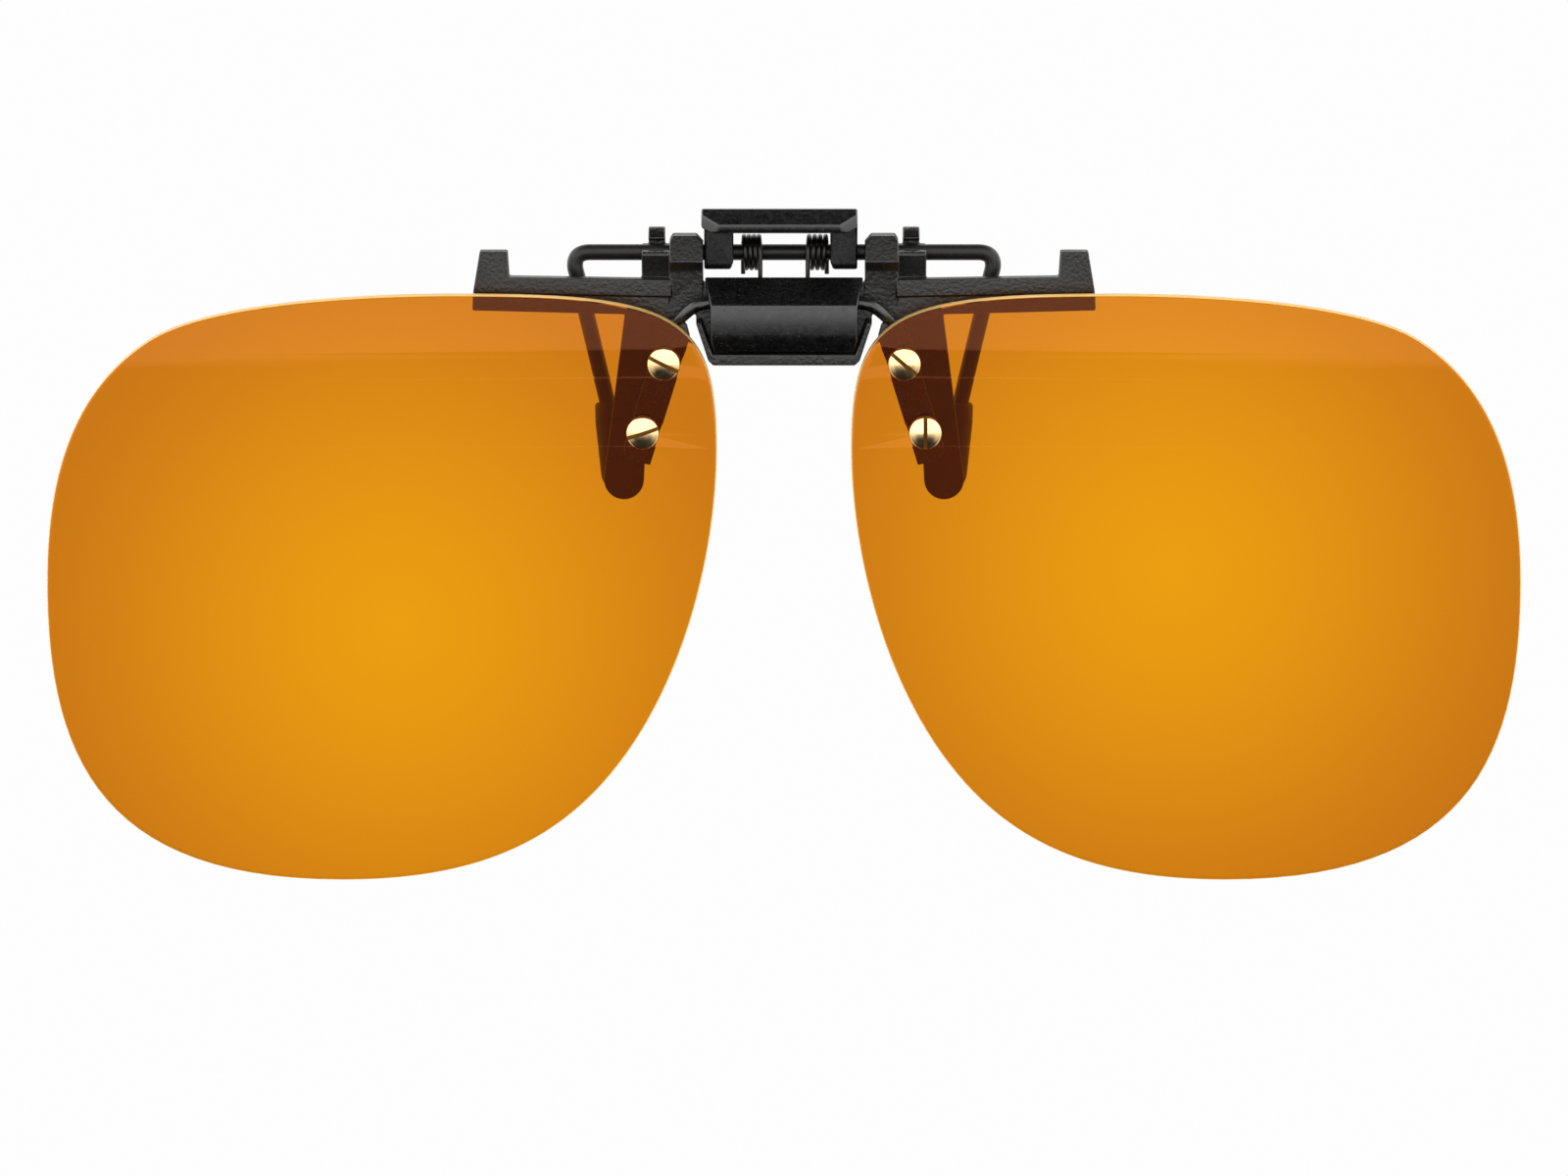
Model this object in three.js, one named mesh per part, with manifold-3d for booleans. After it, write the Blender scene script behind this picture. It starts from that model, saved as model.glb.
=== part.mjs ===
// Flip-up clip-on sunglasses: a moulded clip that grips a pair of spectacles,
// and two tinted lenses on a yoke that swings up out of the way.
// Units are millimetres. +X is the wearer's left, -Y is the front, +Z is up.
// The origin is the middle of the pad that rests against the spectacles' bridge.

import * as THREE from "three";
import * as BufferGeometryUtils from "three/addons/utils/BufferGeometryUtils.js";
import Module from "manifold-3d";

const wasm = await Module();
wasm.setup();

// ---------------------------------------------------------------- dimensions

// Depths (Y) are measured from the rear face of the frame plate, which lies
// PAD_STEP in front of the bridge pad that carries the origin.
const PAD_STEP = 0.3;
const PLATE_FRONT = -1.4;
const BAR_FRONT = -1.8;
const CLEARANCE = 0.3;

// Clamp shaft: the wire's straight middle, which turns in the frame's ears.
const SHAFT = { y: 1.6, z: 7.0, radius: 0.75 };
const BORE_RADIUS = SHAFT.radius + 0.25;

// Flip axle: the yoke's straight middle, held under the hinge cover.
const AXLE = { y: -3.35, z: 2.8, radius: 0.55 };

// Yoke strips and the stack of parts screwed to their front.
const STRIP = { rear: -2.1, front: -3.4 };
const WASHER_THICKNESS = 0.3;
const WASHER_RADIUS = 1.4;
const LENS_THICKNESS = 1.8;
const LENS_REAR = STRIP.front - WASHER_THICKNESS;
const LENS_FRONT = LENS_REAR - LENS_THICKNESS;

// Cheese-head screws, two in each lens.
const SCREW = { headRadius: 1.5, headHeight: 0.9, radius: 0.75, slotWidth: 0.38, slotDepth: 0.45 };
const SCREW_HOLE_RADIUS = SCREW.radius + 0.25;
const SCREW_PLACES = [
  { name: "upper", x: 11.1, z: -2.55, slotLeft: -26, slotRight: -40 },
  { name: "lower", x: 13.05, z: -8.95, slotLeft: 18, slotRight: 90 },
];

// Cheeks of the release lever, the ears outside them and the hooks outside those.
// The lever has side play between the ears, and lies a little to one side.
const CHEEK = { inner: 4.5, outer: 7.2 };
const LEVER_SHIFT = -0.2;
const EAR = { inner: 7.5, outer: 10.6 };
const HOOK = { inner: 10.6, outer: 13.2 };

// Grip: the wire's legs and the soft sleeves on their ends.
const BEND_X = 19.4;
const LEG_KNEE = new THREE.Vector3(16.5, 1.8, -6.8);
const LEG_END = new THREE.Vector3(15.85, 1.75, -12.9);
const SLEEVE = { length: 8.2, radius: 1.3, bore: 1.0 };

const SIDES = [
  { side: -1, label: "left" },
  { side: 1, label: "right" },
];

// ----------------------------------------------------------------- materials

const moulding = new THREE.MeshStandardMaterial({ color: 0x2c2b2a, roughness: 0.62, metalness: 0.0 });
const lacquered = new THREE.MeshStandardMaterial({ color: 0x1f1f20, roughness: 0.42, metalness: 0.5 });
const wireFinish = new THREE.MeshStandardMaterial({ color: 0x2f2e2d, roughness: 0.4, metalness: 0.6 });
const springFinish = new THREE.MeshStandardMaterial({ color: 0x1a1a1a, roughness: 0.38, metalness: 0.7 });
const softTip = new THREE.MeshStandardMaterial({ color: 0x252322, roughness: 0.8, metalness: 0.0 });
const brass = new THREE.MeshStandardMaterial({ color: 0xd9b062, roughness: 0.3, metalness: 1.0 });
const nylon = new THREE.MeshStandardMaterial({ color: 0xd8cfc0, roughness: 0.5, metalness: 0.0 });
const amber = new THREE.MeshStandardMaterial({
  color: 0xd98a18,
  roughness: 0.08,
  metalness: 0.0,
  transparent: true,
  opacity: 0.6,
});

// ------------------------------------------------------------------- helpers

const group = new THREE.Group();
group.position.y = -PAD_STEP;

function add(name, geometry, material) {
  const mesh = new THREE.Mesh(geometry, material);
  mesh.name = name;
  group.add(mesh);
  return mesh;
}

// A closed three.js geometry becomes a solid that can be joined and cut.
function solid(geometry) {
  const bare = geometry.index ? geometry.toNonIndexed() : geometry.clone();
  bare.deleteAttribute("normal");
  bare.deleteAttribute("uv");
  const merged = BufferGeometryUtils.mergeVertices(bare, 1e-5);
  return new wasm.Manifold(new wasm.Mesh({
    numProp: 3,
    vertProperties: new Float32Array(merged.attributes.position.array),
    triVerts: new Uint32Array(merged.index.array),
  }));
}

function surface(manifold) {
  const mesh = manifold.getMesh();
  const geometry = new THREE.BufferGeometry();
  geometry.setAttribute("position", new THREE.BufferAttribute(new Float32Array(mesh.vertProperties), 3));
  geometry.setIndex(new THREE.BufferAttribute(new Uint32Array(mesh.triVerts), 1));
  return geometry;
}

function join(parts) {
  return parts.map(solid).reduce((whole, part) => whole.add(part));
}

function outline(points) {
  return new THREE.Shape(points.map(([u, v]) => new THREE.Vector2(u, v)));
}

// An outline drawn in X and Z, extruded in depth from rear to front.
function plate(shape, rear, front, curveSegments = 12) {
  const geometry = new THREE.ExtrudeGeometry(shape, {
    depth: rear - front,
    bevelEnabled: false,
    curveSegments,
  });
  geometry.rotateX(Math.PI / 2);
  geometry.translate(0, rear, 0);
  return geometry;
}

// A profile drawn in Y and Z, extruded sideways from one X to another.
function bar(shape, fromX, toX, curveSegments = 12) {
  const low = Math.min(fromX, toX);
  const geometry = new THREE.ExtrudeGeometry(shape, {
    depth: Math.abs(toX - fromX),
    bevelEnabled: false,
    curveSegments,
  });
  geometry.applyMatrix4(new THREE.Matrix4().set(0, 0, 1, low, 1, 0, 0, 0, 0, 1, 0, 0, 0, 0, 0, 1));
  return geometry;
}

function box(fromX, toX, rear, front, bottom, top) {
  const geometry = new THREE.BoxGeometry(Math.abs(toX - fromX), rear - front, top - bottom);
  geometry.translate((fromX + toX) / 2, (rear + front) / 2, (bottom + top) / 2);
  return geometry;
}

// A round bar along X, or along Y where a screw goes.
function rodX(radius, fromX, toX, y, z, sides = 20) {
  const geometry = new THREE.CylinderGeometry(radius, radius, Math.abs(toX - fromX), sides);
  geometry.rotateZ(Math.PI / 2);
  geometry.translate((fromX + toX) / 2, y, z);
  return geometry;
}

function rodY(radius, x, rear, front, z, sides = 24) {
  const geometry = new THREE.CylinderGeometry(radius, radius, rear - front, sides);
  geometry.translate(x, (rear + front) / 2, z);
  return geometry;
}

function sweep(path, radius, steps, sides) {
  const ring = new THREE.Shape();
  ring.absarc(0, 0, radius, 0, 2 * Math.PI, false);
  return new THREE.ExtrudeGeometry(ring, {
    steps,
    extrudePath: path,
    curveSegments: sides / 2,
    bevelEnabled: false,
  });
}

// ---------------------------------------------------------------- clip frame

// Rounded finger that lies in front of the spectacle lens.
function prong(side) {
  const tip = { x: 14.87, z: -13.85, radius: 1.85 };
  const shape = new THREE.Shape();
  shape.moveTo(side * 9.0, 2.6);
  shape.lineTo(side * 14.7, 2.6);
  shape.lineTo(side * 14.75, 1.6);
  shape.lineTo(side * 15.0, -0.4);
  shape.lineTo(side * (tip.x + tip.radius), tip.z + 0.2);
  const from = side > 0 ? 0 : Math.PI;
  shape.absarc(side * tip.x, tip.z, tip.radius, from, from - side * Math.PI, side > 0);
  shape.lineTo(side * 12.95, -12.4);
  shape.lineTo(side * 9.25, -0.9);
  return plate(shape, 0, PLATE_FRONT, 20);
}

// Brow bar: a flat web, a thicker upper rail and an upright tab on its end.
function browBar(side) {
  const web = outline([
    [side * 7.0, 1.5], [side * 14.7, 1.6], [side * 28.85, 1.95],
    [side * 28.8, 3.6], [side * 13.2, 4.2], [side * 7.0, 4.4],
  ]);
  const rail = outline([
    [side * 10.4, 3.2], [side * 28.8, 3.55], [side * 28.15, 7.45],
    [side * 25.6, 7.45], [side * 25.45, 5.05], [side * 13.2, 4.85], [side * 10.4, 4.8],
  ]);
  const pad = outline([
    [side * 25.9, 4.2], [side * 28.3, 4.2], [side * 27.9, 7.0], [side * 25.9, 7.0],
  ]);
  return [plate(web, 0, PLATE_FRONT), plate(rail, 0, BAR_FRONT), plate(pad, PAD_STEP, -1)];
}

// Ear: the front half of the shaft's bearing. Its sloping top face ends in a
// nose, and the face below it runs back under the nose.
function ear(side) {
  const top = 8.8;
  const profile = new THREE.Shape();
  profile.moveTo(-1.4, 2.2);
  profile.lineTo(-1.7, 5.7);
  profile.lineTo(-2.2, 6.5);
  profile.lineTo(-0.75, top);
  profile.lineTo(SHAFT.y + 0.2, top);
  profile.lineTo(SHAFT.y + 0.2, SHAFT.z + BORE_RADIUS);
  profile.absarc(SHAFT.y, SHAFT.z, BORE_RADIUS, Math.PI / 2, 1.5 * Math.PI, false);
  profile.lineTo(SHAFT.y - 0.3, SHAFT.z - BORE_RADIUS - 0.4);
  profile.lineTo(-0.1, 2.2);
  const front = outline([
    [side * EAR.inner, 2.2], [side * EAR.inner, 8.1], [side * 8.1, top],
    [side * 10.3, top], [side * EAR.outer, 8.3], [side * EAR.outer, 2.2],
  ]);
  const body = solid(bar(profile, side * EAR.inner, side * EAR.outer, 20));
  return body.intersect(solid(plate(front, 4, -4)));
}

// Hook: a trough that the shaft lies in, with a tab that snaps over it. The
// trough's front wall leans forward a little.
function hook(side) {
  const wall = outline([
    [-0.6, 3.3], [3.45, 3.3], [3.45, 7.65], [2.65, 7.65], [2.65, 5.75], [0.5, 5.75],
    [0.5, 7.1], [0.25, 7.35], [-0.4, 7.3], [-0.65, 7.0], [-0.15, 4.8], [-0.6, 4.5],
  ]);
  const tab = outline([
    [2.65, 7.5], [2.65, 8.2], [1.5, 8.05], [1.2, 8.35],
    [1.9, 8.9], [2.5, 9.25], [3.45, 9.2], [3.45, 7.5],
  ]);
  return [
    bar(wall, side * (HOOK.inner - 0.1), side * HOOK.outer),
    bar(tab, side * 11.05, side * 12.6),
  ];
}

// Tray: the finger plate in the middle, with side walls and a lower lip that
// stand forward around the hinge cover.
function tray() {
  const foot = { z: -2.84, half: 7.0, corner: 0.45 };
  const shoulder = { z: 1.15, half: 8.15 };
  const wall = 0.5;
  const lipTop = -1.8;
  const back = outline([
    [-foot.half + foot.corner, foot.z], [foot.half - foot.corner, foot.z],
    [foot.half, foot.z + foot.corner], [shoulder.half, shoulder.z], [shoulder.half, 4.5],
    [-shoulder.half, 4.5], [-shoulder.half, shoulder.z], [-foot.half, foot.z + foot.corner],
  ]);
  const rim = outline([
    [-foot.half + foot.corner, foot.z], [foot.half - foot.corner, foot.z],
    [foot.half, foot.z + foot.corner], [shoulder.half, shoulder.z],
    [shoulder.half - wall, shoulder.z], [foot.half - wall + 0.1, lipTop],
    [-foot.half + wall - 0.1, lipTop], [-shoulder.half + wall, shoulder.z],
    [-shoulder.half, shoulder.z], [-foot.half, foot.z + foot.corner],
  ]);
  const pad = outline([[-6, -2.2], [6, -2.2], [6.6, 3.9], [-6.6, 3.9]]);
  return [plate(back, 0, PLATE_FRONT), plate(rim, -0.5, -4.6), plate(pad, PAD_STEP, -1)];
}

function clipFrame() {
  const parts = tray();
  for (const { side } of SIDES) {
    parts.push(...browBar(side), ...hook(side), prong(side));
  }
  let whole = join(parts);
  for (const { side } of SIDES) {
    whole = whole.add(ear(side));
  }
  return surface(whole);
}

add("clip_frame", clipFrame(), moulding);

// --------------------------------------------------------------- hinge cover

// Roofed shell that sits in the tray over the flip axle. Its front is slightly
// crowned and turns under to meet the tray's lower lip. Its side cheeks are
// slotted from behind, so the axle drops in before the cover goes on.
function hingeCover() {
  const ridge = { y: -5.4, z: 2.85 };
  const wall = 0.6;
  const bottom = -0.5;
  const back = PLATE_FRONT - CLEARANCE;
  const shell = outline([
    [back, 5.1], [ridge.y + 0.05, ridge.z], [ridge.y - 0.04, 1.9], [ridge.y - 0.04, 1.0],
    [ridge.y + 0.02, 0.2], [ridge.y + 0.1, bottom], [ridge.y + 0.7, -1.65],
    [ridge.y + 0.78, -1.2], [ridge.y + wall, bottom], [ridge.y + wall, ridge.z - 0.05], [back, 4.7],
  ]);
  const cheek = outline([
    [back, 4.9], [ridge.y + 0.2, ridge.z], [ridge.y + 0.2, bottom + 0.1], [back, bottom + 0.1],
  ]);
  const front = outline([
    [-7.4, 5.2], [7.4, 5.2], [6.8, ridge.z], [6.75, bottom], [6.5, -1.7],
    [-6.5, -1.7], [-6.75, bottom], [-6.8, ridge.z],
  ]);
  const slotHalf = AXLE.radius + 0.25;
  let whole = solid(bar(shell, -7.4, 7.4));
  for (const { side } of SIDES) {
    whole = whole.add(solid(bar(cheek, side * 6.0, side * 6.8)));
  }
  whole = whole.intersect(solid(plate(front, 0, -6)));
  for (const { side } of SIDES) {
    const slot = box(side * 5.5, side * 9, 0, AXLE.y, AXLE.z - slotHalf, AXLE.z + slotHalf);
    whole = whole.subtract(solid(slot)).subtract(solid(rodX(slotHalf, side * 5.5, side * 9, AXLE.y, AXLE.z)));
  }
  return surface(whole);
}

add("hinge_cover", hingeCover(), lacquered);

// ------------------------------------------------------------- detent spring

// Bowed leaf behind the axle. Its friction on the axle holds the lenses where
// they are put.
function detentSpring() {
  const half = 5.0;
  const thickness = 0.22;
  const shape = new THREE.Shape();
  shape.moveTo(-1.75, -0.6);
  shape.quadraticCurveTo(-2.9, AXLE.z - 1.0, -1.75, 4.1);
  shape.lineTo(-1.75 - thickness, 4.1);
  shape.quadraticCurveTo(-2.9 - thickness, AXLE.z - 1.0, -1.75 - thickness, -0.6);
  return bar(shape, -half, half, 8);
}

add("detent_spring", detentSpring(), springFinish);

// ------------------------------------------------------------------ lens yoke

// The yoke is one rod, straight where it is the axle. At each end it bends down
// and back into a flat strip, which runs down behind the lens at 17 degrees.
function axleRod() {
  const bend = (side) => [
    new THREE.Vector3(side * 7.0, AXLE.y, AXLE.z),
    new THREE.Vector3(side * 8.1, AXLE.y, AXLE.z - 0.25),
    new THREE.Vector3(side * 9.05, -3.25, 1.85),
    new THREE.Vector3(side * 9.9, -2.95, 0.95),
    new THREE.Vector3(side * 10.8, -2.75, -0.8),
  ];
  const left = bend(-1);
  const right = bend(1);
  const route = new THREE.CurvePath();
  route.add(new THREE.CatmullRomCurve3([...left].reverse()));
  route.add(new THREE.LineCurve3(left[0], right[0]));
  route.add(new THREE.CatmullRomCurve3(right));
  return sweep(route, AXLE.radius, 72, 16);
}

function yokeStrip(side) {
  const strip = new THREE.Shape();
  strip.moveTo(side * 9.0, 0.8);
  strip.quadraticCurveTo(side * 10.4, 1.7, side * 11.35, 0.7);
  strip.lineTo(side * 14.7, -10.1);
  strip.quadraticCurveTo(side * 15.1, -11.5, side * 13.9, -11.85);
  strip.lineTo(side * 12.4, -12.2);
  strip.lineTo(side * 8.7, -0.3);
  return plate(strip, STRIP.rear, STRIP.front, 8);
}

function lensYoke() {
  let whole = solid(axleRod());
  for (const { side } of SIDES) {
    whole = whole.add(solid(yokeStrip(side)));
    for (const place of SCREW_PLACES) {
      whole = whole.subtract(solid(rodY(SCREW_HOLE_RADIUS, side * place.x, 0, -5, place.z)));
    }
  }
  return surface(whole);
}

add("lens_yoke", lensYoke(), lacquered);

// --------------------------------------------------------------------- lenses

// The lens outline has six knots: where it is highest, nearest the nose,
// turning under, lowest, furthest out and turning over. Each knot has a
// heading in degrees, and the two lengths are its curve handles, in and out.
const LENS_KNOTS = [
  { x: 30.4, z: 3.8, heading: 180, before: 5.5, after: 20.3 },
  { x: 6.2, z: -10.5, heading: -90, before: 12.7, after: 9.6 },
  { x: 16.85, z: -41.9, heading: -48.3, before: 11.3, after: 9.0 },
  { x: 41.2, z: -51.05, heading: 0, before: 10.5, after: 22.1 },
  { x: 68.3, z: -24.0, heading: 90, before: 15.9, after: 9.9 },
  { x: 58.6, z: -0.45, heading: 147.1, before: 9.1, after: 7.2 },
];

function lensShape(side) {
  const shape = new THREE.Shape();
  const handle = (knot, reach) => {
    const angle = THREE.MathUtils.degToRad(knot.heading);
    return [side * (knot.x + reach * Math.cos(angle)), knot.z + reach * Math.sin(angle)];
  };
  shape.moveTo(side * LENS_KNOTS[0].x, LENS_KNOTS[0].z);
  LENS_KNOTS.forEach((knot, i) => {
    const next = LENS_KNOTS[(i + 1) % LENS_KNOTS.length];
    shape.bezierCurveTo(...handle(knot, knot.after), ...handle(next, -next.before), side * next.x, next.z);
  });
  return shape;
}

function lens(side) {
  const blank = solid(plate(lensShape(side), LENS_REAR, LENS_FRONT, 14));
  const holes = SCREW_PLACES.map((place) => solid(rodY(SCREW_HOLE_RADIUS, side * place.x, 0, -8, place.z)));
  return surface(holes.reduce((whole, hole) => whole.subtract(hole), blank));
}

for (const { side, label } of SIDES) {
  add(`lens_${label}`, lens(side), amber);
}

// -------------------------------------------------------- screws and washers

function screw(x, z, slotDegrees) {
  const headFront = LENS_FRONT - SCREW.headHeight;
  const head = solid(rodY(SCREW.headRadius, x, LENS_FRONT, headFront, z, 36));
  const shank = solid(rodY(SCREW.radius, x, STRIP.rear, LENS_FRONT - 0.2, z, 20));
  const slot = new THREE.BoxGeometry(4, SCREW.slotDepth * 2, SCREW.slotWidth);
  slot.rotateY(-THREE.MathUtils.degToRad(slotDegrees));
  slot.translate(x, headFront, z);
  return surface(head.add(shank).subtract(solid(slot)));
}

function washer(x, z) {
  const ring = new THREE.Shape();
  ring.absarc(x, z, WASHER_RADIUS, 0, 2 * Math.PI, false);
  const hole = new THREE.Path();
  hole.absarc(x, z, SCREW_HOLE_RADIUS, 0, 2 * Math.PI, true);
  ring.holes.push(hole);
  return plate(ring, STRIP.front, LENS_REAR, 12);
}

for (const { side, label } of SIDES) {
  for (const place of SCREW_PLACES) {
    const angle = side < 0 ? place.slotLeft : place.slotRight;
    add(`lens_screw_${label}_${place.name}`, screw(side * place.x, place.z, angle), brass);
    add(`lens_washer_${label}_${place.name}`, washer(side * place.x, place.z), nylon);
  }
}

// ----------------------------------------------------------------- clamp wire

// One wire: up the left leg, across as the shaft, and down the right leg.
function clampWire() {
  const route = new THREE.CurvePath();
  const legPoints = (side) => [
    new THREE.Vector3(side * LEG_END.x, LEG_END.y, LEG_END.z),
    new THREE.Vector3(side * LEG_KNEE.x, LEG_KNEE.y, LEG_KNEE.z),
    new THREE.Vector3(side * 18.4, 2.3, 1.4),
    new THREE.Vector3(side * BEND_X, SHAFT.y, 5.5),
  ];
  const corner = new THREE.Vector3(BEND_X + 0.2, SHAFT.y, SHAFT.z);
  const shaftEnd = 18.0;
  const [leftEnd, leftKnee, leftMiddle, leftTop] = legPoints(-1);
  const [rightEnd, rightKnee, rightMiddle, rightTop] = legPoints(1);
  const leftShaft = new THREE.Vector3(-shaftEnd, SHAFT.y, SHAFT.z);
  const rightShaft = new THREE.Vector3(shaftEnd, SHAFT.y, SHAFT.z);
  route.add(new THREE.LineCurve3(leftEnd, leftKnee));
  route.add(new THREE.QuadraticBezierCurve3(leftKnee, leftMiddle, leftTop));
  const leftCorner = new THREE.Vector3(-corner.x, corner.y, corner.z);
  route.add(new THREE.QuadraticBezierCurve3(leftTop, leftCorner, leftShaft));
  route.add(new THREE.LineCurve3(leftShaft, rightShaft));
  route.add(new THREE.QuadraticBezierCurve3(rightShaft, corner, rightTop));
  route.add(new THREE.QuadraticBezierCurve3(rightTop, rightMiddle, rightKnee));
  route.add(new THREE.LineCurve3(rightKnee, rightEnd));
  return sweep(route, SHAFT.radius, 110, 10);
}

add("clamp_wire", clampWire(), wireFinish);

// -------------------------------------------------------------- release lever

// Thumb plate over the shaft, on two cheeks that are fixed to the wire.
function releaseLever() {
  const lip = { y: -2.85, z: 10.05 };
  const end = { left: -7.45, right: 7.0 };
  const profile = outline([
    [lip.y, lip.z], [-0.9, 11.35], [1.6, 10.95], [2.3, 10.6], [2.3, 9.8], [-0.5, 10.2],
    [-2.3, 9.15], [lip.y + 0.05, 9.35],
  ]);
  const cheek = outline([
    [-0.4, 5.7], [-0.6, 6.2], [-0.9, 10.1], [2.3, 10.6], [3.2, 8.2], [3.2, 6.0], [2.8, 5.6], [-0.2, 5.6],
  ]);
  const plan = [
    [end.left + 1.6, -4], [end.right - 1.6, -4], [end.right - 1.6, lip.y],
    [end.right, lip.y + 1.2], [end.right, 4], [end.left, 4],
    [end.left, lip.y + 1.2], [end.left + 1.6, lip.y],
  ];
  const footprint = new THREE.ExtrudeGeometry(outline(plan), { depth: 8, bevelEnabled: false });
  footprint.translate(0, 0, 5);
  let whole = solid(bar(profile, end.left, end.right));
  for (const { side } of SIDES) {
    const face = outline([
      [side * (CHEEK.inner + 0.45), 5], [side * CHEEK.inner, 6.3], [side * CHEEK.inner, 12],
      [side * 8, 12], [side * 8, 5],
    ]);
    const blank = solid(bar(cheek, side * CHEEK.inner, side * CHEEK.outer));
    whole = whole.add(blank.intersect(solid(plate(face, 4, -4))));
  }
  whole = whole.intersect(solid(footprint));
  return surface(whole.subtract(solid(rodX(BORE_RADIUS, -9, 9, SHAFT.y, SHAFT.z, 24))));
}

add("release_lever", releaseLever(), lacquered).position.x = LEVER_SHIFT;

// ------------------------------------------------------------- grip sleeves

// Soft barrel on the end of each leg, closed at the bottom and open at the top.
function gripSleeve() {
  const { length, radius, bore } = SLEEVE;
  const profile = [
    [0, length], [radius * 0.45, length - 0.15], [radius * 0.8, length - 0.8], [radius, length - 2.0],
    [radius + 0.05, 4.0], [radius, 1.8], [radius - 0.15, 0], [bore, 0],
    [bore, length - 1.4], [0, length - 1.4],
  ];
  return new THREE.LatheGeometry(profile.map(([r, down]) => new THREE.Vector2(r, -down)), 20);
}

for (const { side, label } of SIDES) {
  const knee = new THREE.Vector3(side * LEG_KNEE.x, LEG_KNEE.y, LEG_KNEE.z);
  const end = new THREE.Vector3(side * LEG_END.x, LEG_END.y, LEG_END.z);
  const sleeve = add(`grip_sleeve_${label}`, gripSleeve(), softTip);
  sleeve.quaternion.setFromUnitVectors(new THREE.Vector3(0, -1, 0), end.clone().sub(knee).normalize());
  sleeve.position.copy(knee).addScaledVector(end.clone().sub(knee).normalize(), 0.2);
}

// ------------------------------------------------------------ torsion springs

// Each spring is wound round the shaft, the left one more closely. Its lower leg
// stands in the tray behind the cover, and its upper leg pushes the thumb plate up.
class SpringPath extends THREE.Curve {
  constructor(side, pitch) {
    super();
    this.side = side;
    this.pitch = pitch;
    this.coilRadius = 1.5;
    this.turns = 3.5;
    this.innerX = 2.2;
    this.legLength = 2.2;
    this.coilLength = 2 * Math.PI * this.coilRadius * this.turns;
  }

  getPoint(t, target = new THREE.Vector3()) {
    const travel = t * (this.coilLength + 2 * this.legLength);
    const along = Math.min(Math.max(travel - this.legLength, 0), this.coilLength);
    const overrun = travel - this.legLength - along;
    const angle = along / this.coilRadius;
    const x = this.innerX + (along / this.coilLength) * this.turns * this.pitch;
    const y = SHAFT.y - this.coilRadius * Math.cos(angle) - overrun * Math.sin(angle) * -1;
    const z = SHAFT.z + this.coilRadius * Math.sin(angle) + overrun * Math.cos(angle);
    return target.set(this.side * x, y, z);
  }
}

for (const { side, label } of SIDES) {
  const path = new SpringPath(side, side < 0 ? 0.46 : 0.51);
  add(`torsion_spring_${label}`, sweep(path, 0.21, 84, 6), springFinish);
}

export default group;
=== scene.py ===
# %% [markdown]
# # Flip-up clip-on sunglasses, finished for a close look
#
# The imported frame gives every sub-part at its real size and place. This script
# gives each of them its finished surface: softened edges on the mouldings and
# castings, smooth wire and springs, polished lenses, and a material for each.
# The frame is loaded first and is never moved, so what is built here always fits.

# %% Load the frame
import math

import bmesh
import bpy
from mathutils import Matrix, Vector


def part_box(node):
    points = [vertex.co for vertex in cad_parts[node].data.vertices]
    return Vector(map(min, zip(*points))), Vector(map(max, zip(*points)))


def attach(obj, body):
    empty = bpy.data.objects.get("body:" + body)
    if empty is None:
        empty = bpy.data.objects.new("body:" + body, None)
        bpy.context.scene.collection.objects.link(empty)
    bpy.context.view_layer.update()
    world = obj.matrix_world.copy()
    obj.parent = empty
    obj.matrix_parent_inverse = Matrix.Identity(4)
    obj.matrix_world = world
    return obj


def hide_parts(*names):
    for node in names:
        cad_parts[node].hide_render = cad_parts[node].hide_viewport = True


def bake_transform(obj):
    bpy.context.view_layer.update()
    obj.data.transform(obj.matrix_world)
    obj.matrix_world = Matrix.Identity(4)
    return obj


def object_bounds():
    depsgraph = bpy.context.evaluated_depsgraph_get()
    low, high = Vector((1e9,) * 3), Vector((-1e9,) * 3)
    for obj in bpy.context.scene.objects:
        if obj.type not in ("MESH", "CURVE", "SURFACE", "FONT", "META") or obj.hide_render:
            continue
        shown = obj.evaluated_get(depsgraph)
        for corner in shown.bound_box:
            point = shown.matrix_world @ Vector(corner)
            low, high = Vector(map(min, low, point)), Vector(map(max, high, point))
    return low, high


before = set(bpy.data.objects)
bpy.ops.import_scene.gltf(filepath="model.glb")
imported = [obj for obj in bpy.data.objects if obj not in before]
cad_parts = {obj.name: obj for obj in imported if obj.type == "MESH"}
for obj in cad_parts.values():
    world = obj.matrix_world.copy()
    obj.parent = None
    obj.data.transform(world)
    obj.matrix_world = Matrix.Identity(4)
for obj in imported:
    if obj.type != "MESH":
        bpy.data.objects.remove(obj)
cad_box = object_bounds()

MM = 0.001
SIDES = {"left": -1, "right": 1}
SAME_POINT = 0.001 * MM

# %% [markdown]
# ## The camera
#
# A pair of glasses is best shown from the front with a long focal length, so
# that its lenses keep their true shape. The camera stands 0.7 m away and looks
# down by nine degrees, which shows the tops of the hinge parts. The aim point is
# the middle of the lenses' height, a little in front of the clip.

# %% Place the camera
VIEW_ELEVATION = math.radians(9.0)
VIEW_DISTANCE = 0.7
FOCAL_LENGTH_MM = 173.3
SENSOR_WIDTH_MM = 36.0
NEAREST, FURTHEST = 0.05, 10.0
AIM = Vector((0.0, -5.0, -23.6)) * MM

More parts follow.
